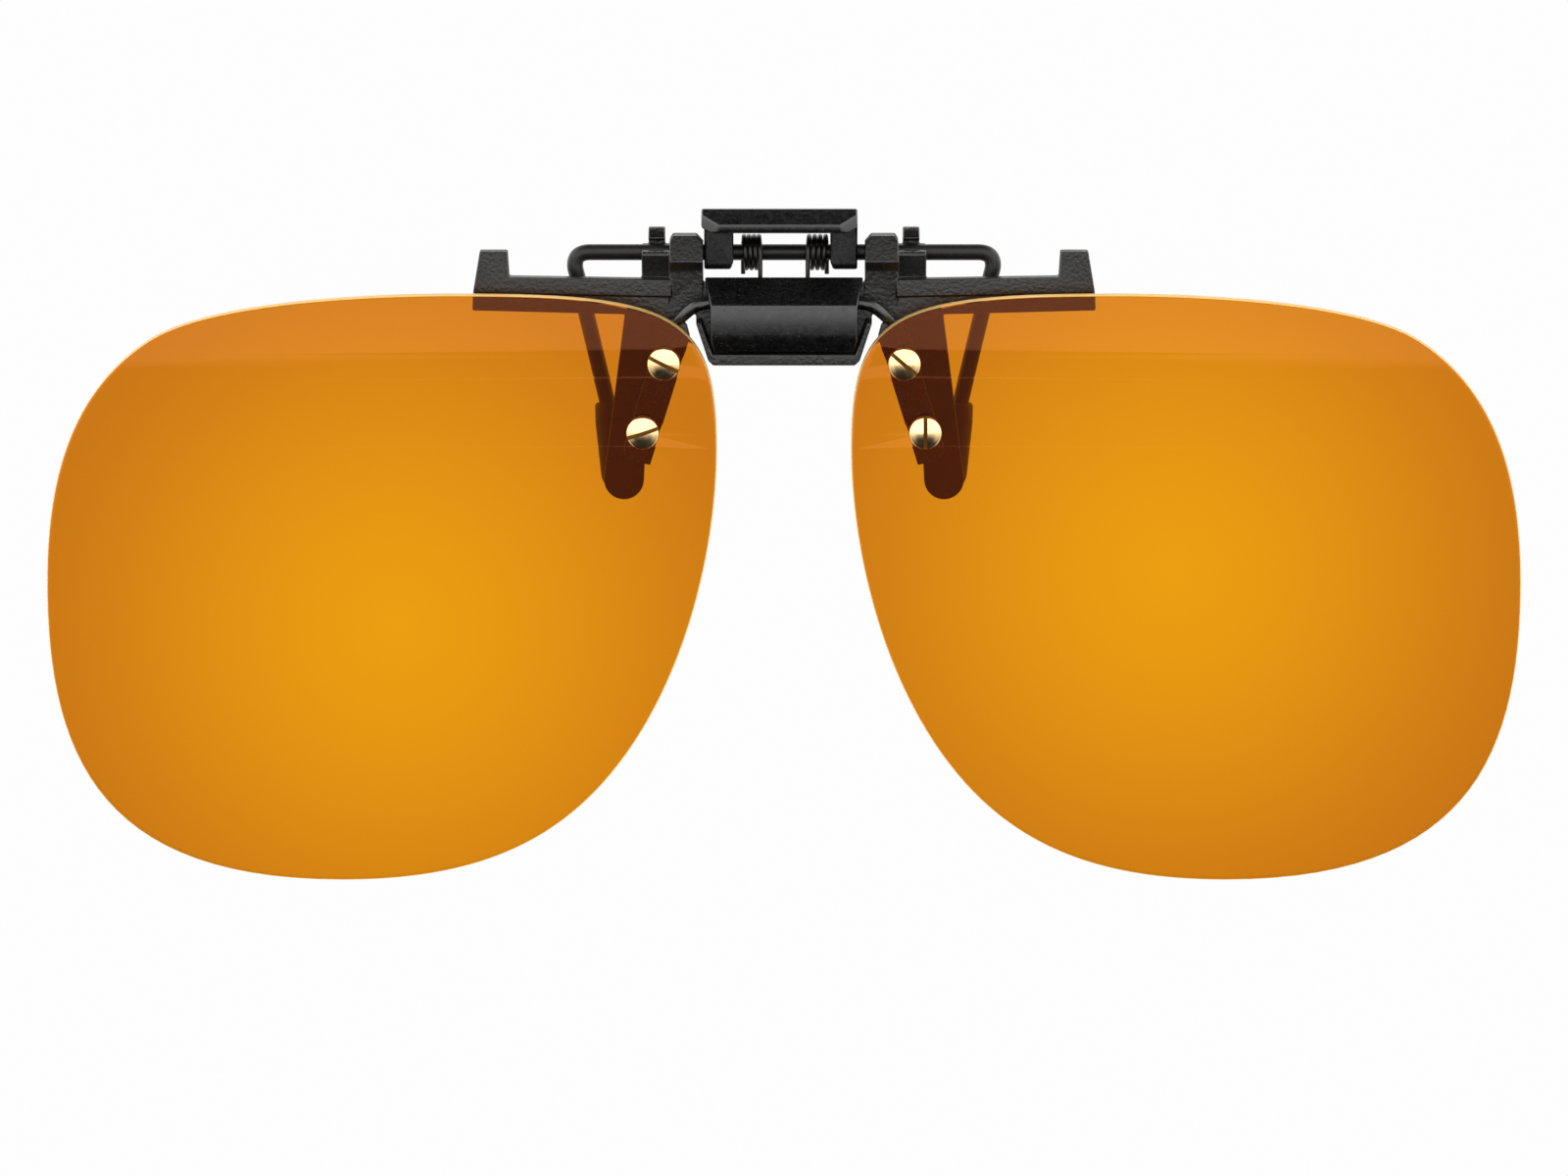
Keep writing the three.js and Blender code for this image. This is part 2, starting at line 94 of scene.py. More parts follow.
camera_data = bpy.data.cameras.new("product_camera")
camera_data.lens = FOCAL_LENGTH_MM
camera_data.sensor_width = SENSOR_WIDTH_MM
camera_data.clip_start = NEAREST
camera_data.clip_end = FURTHEST
camera = bpy.data.objects.new("product_camera", camera_data)
away = Vector((0.0, -math.cos(VIEW_ELEVATION), math.sin(VIEW_ELEVATION)))
camera.location = AIM + away * VIEW_DISTANCE
camera.rotation_euler = (math.radians(90) - VIEW_ELEVATION, 0.0, 0.0)
bpy.context.scene.collection.objects.link(camera)
bpy.context.scene.camera = camera
print("camera at", tuple(round(c, 4) for c in camera.location))

# %% [markdown]
# ## Two small tools for nodes and colours
#
# Colours are easiest to pick as sRGB hex values, but shaders work in linear
# light, so one function turns one into the other. A second one adds a node,
# sets its options and fills its inputs, with a plain value or with another
# node's output. Everything below is built with these two. A Mix node has several
# inputs called A and B, so those for colours are named here by their numbers.

# %% Colour and node helpers
MIX_FIRST, MIX_SECOND, MIX_RESULT = 6, 7, 2


def linear(hex_colour):
    """An sRGB hex colour as linear RGBA."""
    def channel(byte):
        share = byte / 255
        return share / 12.92 if share <= 0.04045 else ((share + 0.055) / 1.055) ** 2.4
    value = int(hex_colour.lstrip("#"), 16)
    return tuple(channel((value >> shift) & 255) for shift in (16, 8, 0)) + (1.0,)


def add_node(tree, kind, inputs=None, **settings):
    """A new node. Each input takes a plain value or another node's output."""
    made = tree.nodes.new(kind)
    for name, value in settings.items():
        setattr(made, name, value)
    for name, value in (inputs or {}).items():
        if isinstance(value, bpy.types.NodeSocket):
            tree.links.new(value, made.inputs[name])
        else:
            made.inputs[name].default_value = value
    return made


def new_material(name):
    """A material with a Principled shader. Returns it, its tree and the shader."""
    material = bpy.data.materials.new(name)
    material.use_nodes = True
    tree = material.node_tree
    tree.nodes.clear()
    shader = add_node(tree, "ShaderNodeBsdfPrincipled")
    add_node(tree, "ShaderNodeOutputMaterial", {"Surface": shader.outputs["BSDF"]})
    print("material:", name)
    return material, tree, shader


# %% [markdown]
# ## Light: a white sweep behind, a bright wall in front
#
# Clear tinted lenses show their colour only against something bright, so the
# studio is white wherever the camera looks, directly or through a lens. The
# black parts are another matter: they are shaped by what they mirror. They see
# a bright wall in front, which ends a little below eye level, a floor that gets
# darker towards the camera's feet, a dark ceiling, lights high and low behind,
# and a light panel on either side that fades downwards. So sloping roofs are dark,
# upright faces are grey, rounded tops and side edges draw bright lines, and a
# screw head is bright above and dark below.

# %% Build the studio light
WALL_FOOT = math.sin(math.radians(-7.2))
FOOT_BLUR = 0.0008
WALL_LIGHT = 2.4
FLOOR_FAR, FLOOR_NEAR = 0.65, 0.02
CEILING_LIGHT = 0.02
REAR_UNDER, REAR_LEVEL, REAR_HIGH = 0.7, 0.15, 2.4
PANEL_LOW, PANEL_HIGH = 1.0, 2.8
BACKDROP_LIGHT = 0.985

# Each gradient reads one part of a ray's direction. Between two readings it goes
# from a first value to a last one. Those from 0 to 1 say how far a light covers.
GRADIENTS = {
    "floor": ("Z", -0.4, WALL_FOOT, FLOOR_NEAR, FLOOR_FAR, "LINEAR"),
    "above_foot": ("Z", WALL_FOOT - FOOT_BLUR, WALL_FOOT + FOOT_BLUR, 0.0, 1.0, "LINEAR"),
    "behind": ("Y", 0.1, 0.6, 0.0, 1.0, "SMOOTHSTEP"),
    "rear_low": ("Z", -0.4, -0.2, REAR_UNDER, REAR_LEVEL, "LINEAR"),
    "rear": ("Z", 0.2, 0.4, "rear_low", REAR_HIGH, "LINEAR"),
    "overhead": ("Z", 0.62, 0.94, 0.0, 1.0, "SMOOTHSTEP"),
    "beside": ("sideways", 0.4, 0.65, 0.0, 1.0, "SMOOTHSTEP"),
    "panel": ("Z", -0.3, 0.1, PANEL_LOW, PANEL_HIGH, "LINEAR"),
}

world = bpy.data.worlds.new("studio")
world.use_nodes = True
bpy.context.scene.world = world
studio = world.node_tree
studio.nodes.clear()
direction = add_node(studio, "ShaderNodeTexCoord").outputs["Generated"]
parts = add_node(studio, "ShaderNodeSeparateXYZ", {"Vector": direction}).outputs
sideways = add_node(studio, "ShaderNodeMath", {0: parts["X"]}, operation="ABSOLUTE").outputs[0]
readings = {"Y": parts["Y"], "Z": parts["Z"], "sideways": sideways}
light = {}
for name, (reading, start, end, first, last, ease) in GRADIENTS.items():
    light[name] = add_node(studio, "ShaderNodeMapRange", {
        "Value": readings[reading], "From Min": start, "From Max": end,
        "To Min": light.get(first, first), "To Max": last}, interpolation_type=ease).outputs[0]

# %% [markdown]
# The lights are laid over each other like sheets of paper. The wall covers the
# upper part of the floor, and then come the rear, the ceiling and the panels.
# What the camera sees, directly or through a lens, is laid over all of them.

# %% Lay the lights over each other
path = add_node(studio, "ShaderNodeLightPath").outputs
seen = add_node(
    studio, "ShaderNodeMath", {0: path["Is Camera Ray"], 1: path["Is Transmission Ray"]},
    operation="MAXIMUM").outputs[0]
LAYERS = [
    (light["above_foot"], WALL_LIGHT),
    (light["behind"], light["rear"]),
    (light["overhead"], CEILING_LIGHT),
    (light["beside"], light["panel"]),
    (seen, BACKDROP_LIGHT),
]
strength = light["floor"]
for cover, layer in LAYERS:
    strength = add_node(
        studio, "ShaderNodeMix", {"Factor": cover, "A": strength, "B": layer}).outputs[0]
background = add_node(
    studio, "ShaderNodeBackground", {"Color": (1.0, 1.0, 1.0, 1.0), "Strength": strength})
add_node(studio, "ShaderNodeOutputWorld", {"Surface": background.outputs[0]})

bpy.context.scene.view_settings.view_transform = "Standard"
print("studio light nodes:", len(studio.nodes))

# %% [markdown]
# ## The floor
#
# The glasses hang above a light table, a pale acrylic sheet that glows evenly.
# It is a plain disc well below the lenses, and it leaves no shadow.

# %% Build the light table
TABLE_DROP = 100 * MM
TABLE_RADIUS = 0.5

table_finish, tree, shader = new_material("opal_acrylic_light_table")
shader.inputs["Base Color"].default_value = linear("#000000")
shader.inputs["Specular IOR Level"].default_value = 0.0
shader.inputs["Emission Color"].default_value = linear("#FFFFFF")
shader.inputs["Emission Strength"].default_value = BACKDROP_LIGHT

disc = bmesh.new()
bmesh.ops.create_circle(disc, cap_ends=True, segments=96, radius=TABLE_RADIUS)
bmesh.ops.translate(disc, verts=disc.verts, vec=(0.0, 0.0, cad_box[0].z - TABLE_DROP))
table_mesh = bpy.data.meshes.new("light_table")
disc.to_mesh(table_mesh)
disc.free()
table_mesh.materials.append(table_finish)
table = bpy.data.objects.new("light_table", table_mesh)
table.visible_glossy = False
table.visible_diffuse = False
bpy.context.scene.collection.objects.link(table)
print("light table at z =", round(cad_box[0].z - TABLE_DROP, 3))

# %% [markdown]
# ## Black moulded nylon
#
# The clip frame is injection moulded in black glass-filled nylon. The mould is
# spark eroded, which leaves a fine pebbled grain that turns its shine into a
# soft grey glow. The real grain is near 0.1 mm; it is drawn at 0.35 mm so that it
# shows. A second, larger noise makes the shine a little uneven, as handling does.

# %% Material: moulded nylon
GRAIN = 0.35 * MM
HANDLING = 4 * MM

moulded_nylon, tree, shader = new_material("moulded_black_nylon")
place = add_node(tree, "ShaderNodeTexCoord").outputs["Object"]
grain = add_node(tree, "ShaderNodeTexNoise", {
    "Vector": place, "Scale": 1 / GRAIN, "Detail": 3.0}).outputs[0]
handling = add_node(tree, "ShaderNodeTexNoise", {
    "Vector": place, "Scale": 1 / HANDLING, "Detail": 4.0}).outputs[0]
tone = add_node(tree, "ShaderNodeMix", {
    "Factor": grain, MIX_FIRST: linear("#020202"), MIX_SECOND: linear("#151310")},
    data_type="RGBA")
shine = add_node(tree, "ShaderNodeMapRange", {
    "Value": handling, "From Min": 0.3, "From Max": 0.7, "To Min": 0.24, "To Max": 0.36})
bump = add_node(tree, "ShaderNodeBump", {
    "Strength": 1.0, "Distance": 0.055 * MM, "Height": grain})
tree.links.new(tone.outputs[MIX_RESULT], shader.inputs["Base Color"])
tree.links.new(shine.outputs[0], shader.inputs["Roughness"])
tree.links.new(bump.outputs[0], shader.inputs["Normal"])
shader.inputs["IOR"].default_value = 1.47

# %% [markdown]
# ## Stoved black lacquer
#
# The hinge cover, the thumb lever and the lens yoke are small metal parts with
# a baked lacquer. It is blacker and smoother than the nylon, with a faint
# orange-peel ripple about half a millimetre across and dust-fine specks.

# %% Material: black lacquer
PEEL = 0.5 * MM
SPECK = 0.16 * MM

black_lacquer, tree, shader = new_material("stoved_black_lacquer")
place = add_node(tree, "ShaderNodeTexCoord").outputs["Object"]
peel = add_node(tree, "ShaderNodeTexNoise", {
    "Vector": place, "Scale": 1 / PEEL, "Detail": 2.0}).outputs[0]
speck = add_node(tree, "ShaderNodeTexNoise", {
    "Vector": place, "Scale": 1 / SPECK, "Detail": 1.0}).outputs[0]
bright_speck = add_node(tree, "ShaderNodeMapRange", {
    "Value": speck, "From Min": 0.66, "From Max": 0.8}).outputs[0]
tone = add_node(tree, "ShaderNodeMix", {
    "Factor": bright_speck, MIX_FIRST: linear("#040404"), MIX_SECOND: linear("#3C3A38")},
    data_type="RGBA")
shine = add_node(tree, "ShaderNodeMapRange", {
    "Value": peel, "From Min": 0.3, "From Max": 0.7, "To Min": 0.22, "To Max": 0.34})
heights = add_node(tree, "ShaderNodeMath", {0: peel, 1: speck}, operation="ADD").outputs[0]
bump = add_node(tree, "ShaderNodeBump", {
    "Strength": 0.3, "Distance": 0.015 * MM, "Height": heights})
tree.links.new(tone.outputs[MIX_RESULT], shader.inputs["Base Color"])
tree.links.new(shine.outputs[0], shader.inputs["Roughness"])
tree.links.new(bump.outputs[0], shader.inputs["Normal"])
shader.inputs["IOR"].default_value = 1.56

# %% [markdown]
# ## Black coated wire
#
# The clamp wire has a satin black coat, which is plastic to the eye. Drawing the
# wire leaves faint marks under the coat, and they make its shine uneven.

# %% Material: coated wire
DRAW_MARK = 0.35 * MM

coated_wire, tree, shader = new_material("satin_black_coated_wire")
place = add_node(tree, "ShaderNodeTexCoord").outputs["Object"]
draw_marks = add_node(tree, "ShaderNodeTexNoise", {
    "Vector": place, "Scale": 1 / DRAW_MARK, "Detail": 3.0}).outputs[0]
shine = add_node(tree, "ShaderNodeMapRange", {
    "Value": draw_marks, "From Min": 0.3, "From Max": 0.7, "To Min": 0.34, "To Max": 0.48})
bump = add_node(tree, "ShaderNodeBump", {
    "Strength": 0.2, "Distance": 0.01 * MM, "Height": draw_marks})
tree.links.new(shine.outputs[0], shader.inputs["Roughness"])
tree.links.new(bump.outputs[0], shader.inputs["Normal"])
shader.inputs["Base Color"].default_value = linear("#12100F")
shader.inputs["IOR"].default_value = 1.36

# %% [markdown]
# ## Blackened springs and soft sleeves
#
# The small springs are blackened steel, so they stay metal: dark, with a grey
# bright line along each turn. The sleeves are dipped in soft vinyl, which is
# almost matt and slightly wavy.

# %% Materials: springs and sleeves
OXIDE_PATCH = 0.3 * MM
DIP_WAVE = 0.8 * MM

blackened_steel, tree, shader = new_material("blackened_spring_steel")
place = add_node(tree, "ShaderNodeTexCoord").outputs["Object"]
oxide = add_node(tree, "ShaderNodeTexNoise", {
    "Vector": place, "Scale": 1 / OXIDE_PATCH, "Detail": 2.0}).outputs[0]
tone = add_node(tree, "ShaderNodeMix", {
    "Factor": oxide, MIX_FIRST: linear("#1A1918"), MIX_SECOND: linear("#403E3C")},
    data_type="RGBA")
tree.links.new(tone.outputs[MIX_RESULT], shader.inputs["Base Color"])
shader.inputs["Metallic"].default_value = 1.0
shader.inputs["Roughness"].default_value = 0.36

soft_vinyl, tree, shader = new_material("soft_black_vinyl")
place = add_node(tree, "ShaderNodeTexCoord").outputs["Object"]
dip = add_node(tree, "ShaderNodeTexNoise", {
    "Vector": place, "Scale": 1 / DIP_WAVE, "Detail": 3.0}).outputs[0]
bump = add_node(tree, "ShaderNodeBump", {
    "Strength": 0.25, "Distance": 0.03 * MM, "Height": dip})
tree.links.new(bump.outputs[0], shader.inputs["Normal"])
shader.inputs["Base Color"].default_value = linear("#161412")
shader.inputs["Roughness"].default_value = 0.62
shader.inputs["IOR"].default_value = 1.53

# %% [markdown]
# ## Turned brass
#
# The screws are turned from brass bar. Turning leaves fine rings round the axis,
# so the pattern needs the distance from each screw's own axis: the screws carry
# a UV map that holds that offset in millimetres.

# %% Material: turned brass
RING_PITCH_MM = 0.16
TARNISH_PATCH = 0.9 * MM

turned_brass, tree, shader = new_material("turned_brass")
offset_mm = add_node(tree, "ShaderNodeUVMap", uv_map="from_axis").outputs[0]
radius_mm = add_node(
    tree, "ShaderNodeVectorMath", {0: offset_mm}, operation="LENGTH").outputs["Value"]
ring_phase = add_node(tree, "ShaderNodeMath", {
    0: radius_mm, 1: 2 * math.pi / RING_PITCH_MM}, operation="MULTIPLY").outputs[0]
rings = add_node(tree, "ShaderNodeMath", {0: ring_phase}, operation="SINE").outputs[0]
place = add_node(tree, "ShaderNodeTexCoord").outputs["Object"]
tarnish = add_node(tree, "ShaderNodeTexNoise", {
    "Vector": place, "Scale": 1 / TARNISH_PATCH, "Detail": 4.0}).outputs[0]
tone = add_node(tree, "ShaderNodeMix", {
    "Factor": tarnish, MIX_FIRST: linear("#F2D4A2"), MIX_SECOND: linear("#E6BA7C")},
    data_type="RGBA")
shine = add_node(tree, "ShaderNodeMapRange", {
    "Value": tarnish, "From Min": 0.3, "From Max": 0.7, "To Min": 0.14, "To Max": 0.26})
bump = add_node(tree, "ShaderNodeBump", {
    "Strength": 0.12, "Distance": 0.005 * MM, "Height": rings})
tree.links.new(tone.outputs[MIX_RESULT], shader.inputs["Base Color"])
tree.links.new(shine.outputs[0], shader.inputs["Roughness"])
tree.links.new(bump.outputs[0], shader.inputs["Normal"])
shader.inputs["Metallic"].default_value = 1.0

# %% [markdown]
# ## Sawn slots and natural nylon
#
# The slot in a screw is sawn and never polished, so its walls are dull. Their
# dark brown colour is painted shade for the shade deep in the slot. The washers
# behind the lenses are undyed nylon, a cloudy cream white with a soft shine.

# %% Materials: slot brass with painted shade, and natural nylon
SAW_MARK = 0.1 * MM
CLOUD = 0.6 * MM

slot_brass_painted_shade, tree, shader = new_material("dull_slot_brass_painted_shade")
place = add_node(tree, "ShaderNodeTexCoord").outputs["Object"]
saw_marks = add_node(tree, "ShaderNodeTexNoise", {
    "Vector": place, "Scale": 1 / SAW_MARK, "Detail": 2.0}).outputs[0]
# The dark browns are painted shade for the depth of the slot.
tone = add_node(tree, "ShaderNodeMix", {
    "Factor": saw_marks, MIX_FIRST: linear("#4A2E0C"), MIX_SECOND: linear("#8A5E22")},
    data_type="RGBA")
tree.links.new(tone.outputs[MIX_RESULT], shader.inputs["Base Color"])
shader.inputs["Metallic"].default_value = 1.0
shader.inputs["Roughness"].default_value = 0.6

natural_nylon, tree, shader = new_material("natural_nylon")
place = add_node(tree, "ShaderNodeTexCoord").outputs["Object"]
cloud = add_node(tree, "ShaderNodeTexNoise", {
    "Vector": place, "Scale": 1 / CLOUD, "Detail": 2.0}).outputs[0]
tone = add_node(tree, "ShaderNodeMix", {
    "Factor": cloud, MIX_FIRST: linear("#D8CDB8"), MIX_SECOND: linear("#C9BCA4")},
    data_type="RGBA")
tree.links.new(tone.outputs[MIX_RESULT], shader.inputs["Base Color"])
shader.inputs["Roughness"].default_value = 0.45
shader.inputs["IOR"].default_value = 1.53

# %% [markdown]
# ## Amber lens resin
#
# Each lens is a polished sheet of amber tinted resin. It passes red and green
# and holds back blue, so white behind it turns orange. Its colour is yellower
# in the middle than near the rim. The faces carry a
# hard coat that mirrors warm light, so dark parts behind look reddish brown.

# %% Material: amber lens resin
LENS_CENTRE = {"left": Vector((-36.0, 0.0, -27.0)) * MM, "right": Vector((36.0, 0.0, -22.0)) * MM}
LENS_REACH = 34 * MM
LENS_TONES = ((0.0, "#F0A206"), (0.5, "#E5920C"), (1.0, "#C67010"))


def amber_resin(label):
    """The lens material, its yellower middle centred on one lens."""
    material, tree, shader = new_material(f"amber_lens_resin_{label}")
    place = add_node(tree, "ShaderNodeTexCoord").outputs["Object"]
    centred = add_node(tree, "ShaderNodeMapping", {
        "Vector": place, "Location": -LENS_CENTRE[label] / LENS_REACH,
        "Scale": (1 / LENS_REACH, 0.0, 1 / LENS_REACH)})
    distance = add_node(
        tree, "ShaderNodeVectorMath", {0: centred.outputs[0]}, operation="LENGTH")
    ramp = add_node(tree, "ShaderNodeValToRGB", {"Fac": distance.outputs["Value"]})
    ramp.color_ramp.interpolation = "B_SPLINE"
    ramp.color_ramp.elements.new(0.5)
    for element, (at, colour) in zip(ramp.color_ramp.elements, LENS_TONES):
        element.position = at
        element.color = linear(colour)
    tree.links.new(ramp.outputs[0], shader.inputs["Base Color"])
    shader.inputs["Transmission Weight"].default_value = 1.0
    shader.inputs["Roughness"].default_value = 0.0
    shader.inputs["IOR"].default_value = 1.5
    shader.inputs["Specular Tint"].default_value = linear("#FFA070")
    return material


amber = {label: amber_resin(label) for label in SIDES}

# %% [markdown]
# ## Ground lens rim
#
# The rim of a lens is ground to shape and left unpolished, so it is rough and
# scatters light. Its pale cream colour is painted highlight that draws a pale thin line.

# %% Material: ground rim, with painted highlight
GRIT = 0.15 * MM

ground_rim_painted_highlight, tree, shader = new_material("ground_amber_rim_painted_highlight")
place = add_node(tree, "ShaderNodeTexCoord").outputs["Object"]
grit = add_node(tree, "ShaderNodeTexNoise", {
    "Vector": place, "Scale": 1 / GRIT, "Detail": 2.0}).outputs[0]
# The pale cream tones are painted highlight along the rim, far paler than the lens dye.
tone = add_node(tree, "ShaderNodeMix", {
    "Factor": grit, MIX_FIRST: linear("#FFCE70"), MIX_SECOND: linear("#FFE294")},
    data_type="RGBA")
tree.links.new(tone.outputs[MIX_RESULT], shader.inputs["Base Color"])
shader.inputs["Transmission Weight"].default_value = 0.7
shader.inputs["Roughness"].default_value = 0.5
shader.inputs["IOR"].default_value = 1.5
print("materials:", len(bpy.data.materials))

# %% [markdown]
# ## From a bmesh to a finished piece
#
# Every piece ends the same way: the bmesh becomes an object at the origin, with
# its place in its mesh. Faces are shaded smooth, edges sharper than an angle
# stay sharp, and weighted normals keep the large flat faces flat between
# softened edges. The piece then rides on its body and carries its materials.

# %% Finishing helper
SHARP = math.radians(40)
FLAT_FACE_WEIGHT = 80


def finish_piece(bm, name, materials, body, replaced=(), weighted=True):
    """Turns a bmesh into a shown piece that rides on a body and stands for CAD nodes."""
    mesh = bpy.data.meshes.new(name)
    bm.to_mesh(mesh)
    bm.free()
    for material in materials:
        mesh.materials.append(material)
    mesh.shade_smooth()
    mesh.set_sharp_from_angle(angle=SHARP)
    piece = bpy.data.objects.new(name, mesh)
    bpy.context.scene.collection.objects.link(piece)
    if weighted:
        normals = piece.modifiers.new("even_normals", "WEIGHTED_NORMAL")
        normals.keep_sharp = True
        normals.weight = FLAT_FACE_WEIGHT
    if body:
        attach(piece, body)
    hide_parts(*replaced)
    print(f"{name}: {len(mesh.polygons)} faces")
    return piece


# %% [markdown]
# ## Mouldings and castings with softened edges
#
# No real moulding has a knife edge: the mould's own corners are rounded, and
# lacquer pulls away from them. The frame already has the right shapes, so a
# copy of each is merged into one surface, its flat faces are joined up again,
# and every corner sharper than 25 degrees is bevelled by a real radius. Edges
# much shorter than the bevel would spoil it, so they are merged away first.

# %% Soften copies of the frame's parts
CAD_SEAM = 0.002 * MM
SHORTEST_EDGE = 0.06 * MM
FLAT_ENOUGH = math.radians(1.5)
CORNER = math.radians(25)


def softened(node, radius, segments):
    """A merged copy of a CAD node with its corners bevelled."""
    bm = bmesh.new()
    bm.from_mesh(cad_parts[node].data)
    bmesh.ops.remove_doubles(bm, verts=bm.verts, dist=CAD_SEAM)
    bmesh.ops.dissolve_limit(
        bm, angle_limit=FLAT_ENOUGH, verts=bm.verts, edges=bm.edges,
        use_dissolve_boundaries=False)
    bmesh.ops.remove_doubles(bm, verts=bm.verts, dist=SHORTEST_EDGE)
    corners = [edge for edge in bm.edges
               if len(edge.link_faces) == 2 and edge.calc_face_angle() > CORNER]
    bmesh.ops.bevel(
        bm, geom=corners, offset=radius, offset_type="OFFSET", affect="EDGES", segments=segments,
        profile=0.5, material=-1, clamp_overlap=False, miter_outer="SHARP")
    return bm


# Node, corner radius in millimetres, steps round a corner, name, finish, body and slot.
SOFTENED = [
    ("clip_frame", 0.13, 2, "clip_frame_moulding", moulded_nylon, "clip", "moulded_frame"),
    ("hinge_cover", 0.18, 3, "hinge_cover_shell", black_lacquer, "clip", "black_lacquer"),
    ("release_lever", 0.2, 3, "release_lever_casting", black_lacquer, "clamp", "black_lacquer"),
    ("lens_yoke", 0.1, 2, "lens_yoke_strips", black_lacquer, "lens_carrier", "black_lacquer"),
    ("detent_spring", 0.04, 1, "detent_leaf", blackened_steel, "clip", "spring_steel"),
]
for node, radius, segments, name, finish, body, slot in SOFTENED:
    finish_piece(softened(node, radius * MM, segments), name, [finish], body, [node])

# %% [markdown]
# ## Curves that become solid
#
# Wire and springs are round bar along a line, and a lens is a flat outline with
# a rounded rim. Blender's curves make both well. A curve is evaluated into a
# mesh once it is drawn, so that the piece can be merged and finished as a bmesh.

# %% Curve helpers
def bezier_line(curve, stations, closed):
    """Adds a Bezier line. A station is a point, the handle before it and the one after."""
    line = curve.splines.new("BEZIER")
    line.bezier_points.add(len(stations) - 1)
    for point, (at, before, after) in zip(line.bezier_points, stations):
        point.handle_left_type = "FREE"
        point.handle_right_type = "FREE"
        point.co = at
        point.handle_left = before
        point.handle_right = after
    line.use_cyclic_u = closed


def meshed(curve, move=Matrix.Identity(4)):
    """The surface that a curve's settings make, as a merged bmesh."""
    holder = bpy.data.objects.new("curve_holder", curve)
    bpy.context.scene.collection.objects.link(holder)
    bpy.context.view_layer.update()
    evaluated = holder.evaluated_get(bpy.context.evaluated_depsgraph_get())
    mesh = bpy.data.meshes.new_from_object(evaluated)
    bpy.data.objects.remove(holder)
    bm = bmesh.new()
    bm.from_mesh(mesh)
    bpy.data.meshes.remove(mesh)
    bmesh.ops.remove_doubles(bm, verts=bm.verts, dist=SAME_POINT)
    bmesh.ops.transform(bm, matrix=move, verts=bm.verts)
    bmesh.ops.recalc_face_normals(bm, faces=bm.faces)
    return bm


def middle_of(node):
    """The middle of a CAD node's box."""
    low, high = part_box(node)
    return (low + high) / 2


# %% [markdown]
# ## The lenses
#
# The outline is a rounded aviator shape with six knots: highest, nearest the
# nose, turning under, lowest, furthest out and turning over. Each knot has a
# heading and a handle on either side, so the curve runs smoothly through it. A
# flat curve with depth and a small bevel gives the polished sheet its rounded
# rim, and two circles inside the outline become the screw holes.

# %% The outline and the holes of a lens
LENS_KNOTS = [
    {"x": 30.4, "z": 3.8, "heading": 180, "before": 5.5, "after": 20.3},
    {"x": 6.2, "z": -10.5, "heading": -90, "before": 12.7, "after": 9.6},
    {"x": 16.85, "z": -41.9, "heading": -48.3, "before": 11.3, "after": 9.0},
    {"x": 41.2, "z": -51.05, "heading": 0, "before": 10.5, "after": 22.1},
    {"x": 68.3, "z": -24.0, "heading": 90, "before": 15.9, "after": 9.9},
    {"x": 58.6, "z": -0.45, "heading": 147.1, "before": 9.1, "after": 7.2},
]
HOLE_RADIUS = 1.0 * MM
CIRCLE_HANDLE = 0.5523


def rim_stations(side):
    """The lens outline's points and handles on one side."""
    stations = []
    for knot in LENS_KNOTS:
        angle = math.radians(knot["heading"])
        ahead = Vector((side * math.cos(angle), math.sin(angle), 0.0)) * MM
        at = Vector((side * knot["x"], knot["z"], 0.0)) * MM
        stations.append((at, at - ahead * knot["before"], at + ahead * knot["after"]))
    return stations


def hole_stations(centre):
    """The four points and handles of a round screw hole."""
    stations = []
    for quarter in range(4):
        angle = quarter * math.pi / 2
        out = Vector((math.cos(angle), math.sin(angle), 0.0)) * HOLE_RADIUS
        along = Vector((-math.sin(angle), math.cos(angle), 0.0)) * HOLE_RADIUS * CIRCLE_HANDLE
        at = Vector((centre.x, centre.z, 0.0)) + out
        stations.append((at, at - along, at + along))
    return stations


# %% [markdown]
# The curve is drawn lying down and then stood up. Its faces that look forwards
# or backwards are polished resin, and those that look outwards are the rim.

# %% Draw the lenses
RIM_ROUND = 0.3 * MM
RIM_FACING_BELOW = math.cos(math.radians(42))
POLISHED, RIM_PAINTED_HIGHLIGHT = 0, 1


def draw_lens(label):
    """One lens as a merged bmesh, in the place of its CAD node."""
    low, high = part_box(f"lens_{label}")
    curve = bpy.data.curves.new("lens_outline", "CURVE")
    curve.dimensions = "2D"
    curve.fill_mode = "BOTH"
    curve.resolution_u = 28
    curve.extrude = (high.y - low.y) / 2 - RIM_ROUND
    curve.bevel_depth = RIM_ROUND
    curve.bevel_resolution = 3
    curve.offset = -RIM_ROUND
    bezier_line(curve, rim_stations(SIDES[label]), closed=True)
    for row in ("upper", "lower"):
        bezier_line(curve, hole_stations(middle_of(f"lens_screw_{label}_{row}")), closed=True)
    stand_up = Matrix.Rotation(math.radians(90), 4, "X")
    bm = meshed(curve, Matrix.Translation((0.0, (low.y + high.y) / 2, 0.0)) @ stand_up)
    for face in bm.faces:
        face.normal_update()
        # Outward faces get the rim material, whose pale tint is painted highlight.
        face.material_index = RIM_PAINTED_HIGHLIGHT if abs(face.normal.y) < RIM_FACING_BELOW else POLISHED
    return bm


for label in SIDES:
    finish_piece(draw_lens(label), f"lens_{label}_polished", [amber[label], ground_rim_painted_highlight],
                 "lens_carrier", [f"lens_{label}"])

# %% [markdown]
# ## The clamp wire
#
# One length of 1.5 mm wire: up the left leg, across as the shaft, and down the
# right leg. Each bend is one curve segment, so the wire keeps its thickness
# through it. The route is the frame's own, mirrored for the two sides.

